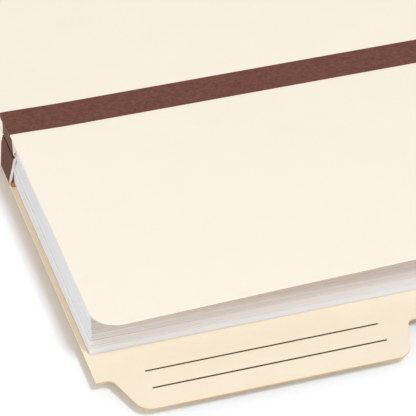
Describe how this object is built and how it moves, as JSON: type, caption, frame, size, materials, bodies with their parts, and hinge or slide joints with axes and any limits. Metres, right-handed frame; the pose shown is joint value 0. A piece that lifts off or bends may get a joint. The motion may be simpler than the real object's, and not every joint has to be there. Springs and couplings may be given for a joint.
{
  "type": "expanding file pocket",
  "caption": "Manila expanding file pocket with a shouldered index tab, a free front flap, a brown reinforcing band and a folding gusset on its sides and bottom.",
  "frame": {"origin": "centre of the bounding box in plan, on the underside of the back panel", "axes": "+X across the pocket's width with the tab at -X, -Y towards the mouth and tab, +Z from the back panel to the front panel"},
  "size_m": [0.2986, 0.2508, 0.0221],
  "materials": {
    "manila": "matte",
    "cream_manila": "matte",
    "brown_tape": "matte",
    "rule_ink": "matte",
    "sheet_paper": "matte"
  },
  "bodies": {
    "back": {"back_panel": "manila", "left_rear_flange": "cream_manila", "right_rear_flange": "cream_manila", "bottom_rear_flange": "cream_manila"},
    "front": {"front_panel": "cream_manila", "front_band": "brown_tape", "left_front_flange": "cream_manila", "right_front_flange": "cream_manila", "bottom_front_flange": "cream_manila"},
    "flap": {"front_flap": "cream_manila"},
    "left_rear_gusset": {"left_rear_leaf": "cream_manila", "left_rear_outer_tape": "brown_tape", "left_rear_inner_tape": "brown_tape"},
    "right_rear_gusset": {"right_rear_leaf": "cream_manila", "right_rear_outer_tape": "brown_tape", "right_rear_inner_tape": "brown_tape"},
    "bottom_rear_gusset": {"bottom_rear_leaf": "cream_manila"},
    "left_front_gusset": {"left_front_leaf": "cream_manila", "left_front_outer_tape": "brown_tape", "left_front_inner_tape": "brown_tape"},
    "right_front_gusset": {"right_front_leaf": "cream_manila", "right_front_outer_tape": "brown_tape", "right_front_inner_tape": "brown_tape"},
    "bottom_front_gusset": {"bottom_front_leaf": "cream_manila"}
  },
  "joints": [
    {"name": "expand", "type": "slide", "parent": "back", "child": "front", "axis": [0, 0, 1], "range_m": [-0.012, 0]},
    {"name": "flap_fold", "type": "hinge", "parent": "front", "child": "flap", "pos_m": [0, 0.0004, 0.01885], "axis": [-1, 0, 0], "range_deg": [0, 170]},
    {"name": "left_rear_fold", "type": "hinge", "parent": "back", "child": "left_rear_gusset", "pos_m": [-0.14885, 0, 0.00175], "axis": [0, -1, 0], "range_deg": [-65.3, 0]},
    {"name": "right_rear_fold", "type": "hinge", "parent": "back", "child": "right_rear_gusset", "pos_m": [0.14885, 0, 0.00175], "axis": [0, 1, 0], "range_deg": [-65.3, 0]},
    {"name": "bottom_rear_fold", "type": "hinge", "parent": "back", "child": "bottom_rear_gusset", "pos_m": [0, 0.125, 0.00175], "axis": [-1, 0, 0], "range_deg": [-65.3, 0]},
    {"name": "left_front_fold", "type": "hinge", "parent": "front", "child": "left_front_gusset", "pos_m": [-0.1471, 0, 0.01675], "axis": [0, 1, 0], "range_deg": [-78.6, 0]},
    {"name": "right_front_fold", "type": "hinge", "parent": "front", "child": "right_front_gusset", "pos_m": [0.1471, 0, 0.01675], "axis": [0, -1, 0], "range_deg": [-78.6, 0]},
    {"name": "bottom_front_fold", "type": "hinge", "parent": "front", "child": "bottom_front_gusset", "pos_m": [0, 0.12325, 0.01675], "axis": [1, 0, 0], "range_deg": [-78.6, 0]}
  ],
  "couplings": [
    {"joint": "left_rear_fold", "follows": "expand", "rad_per_m": 94.8},
    {"joint": "right_rear_fold", "follows": "expand", "rad_per_m": 94.8},
    {"joint": "bottom_rear_fold", "follows": "expand", "rad_per_m": 94.8},
    {"joint": "left_front_fold", "follows": "expand", "rad_per_m": 114.1},
    {"joint": "right_front_fold", "follows": "expand", "rad_per_m": 114.1},
    {"joint": "bottom_front_fold", "follows": "expand", "rad_per_m": 114.1}
  ]
}
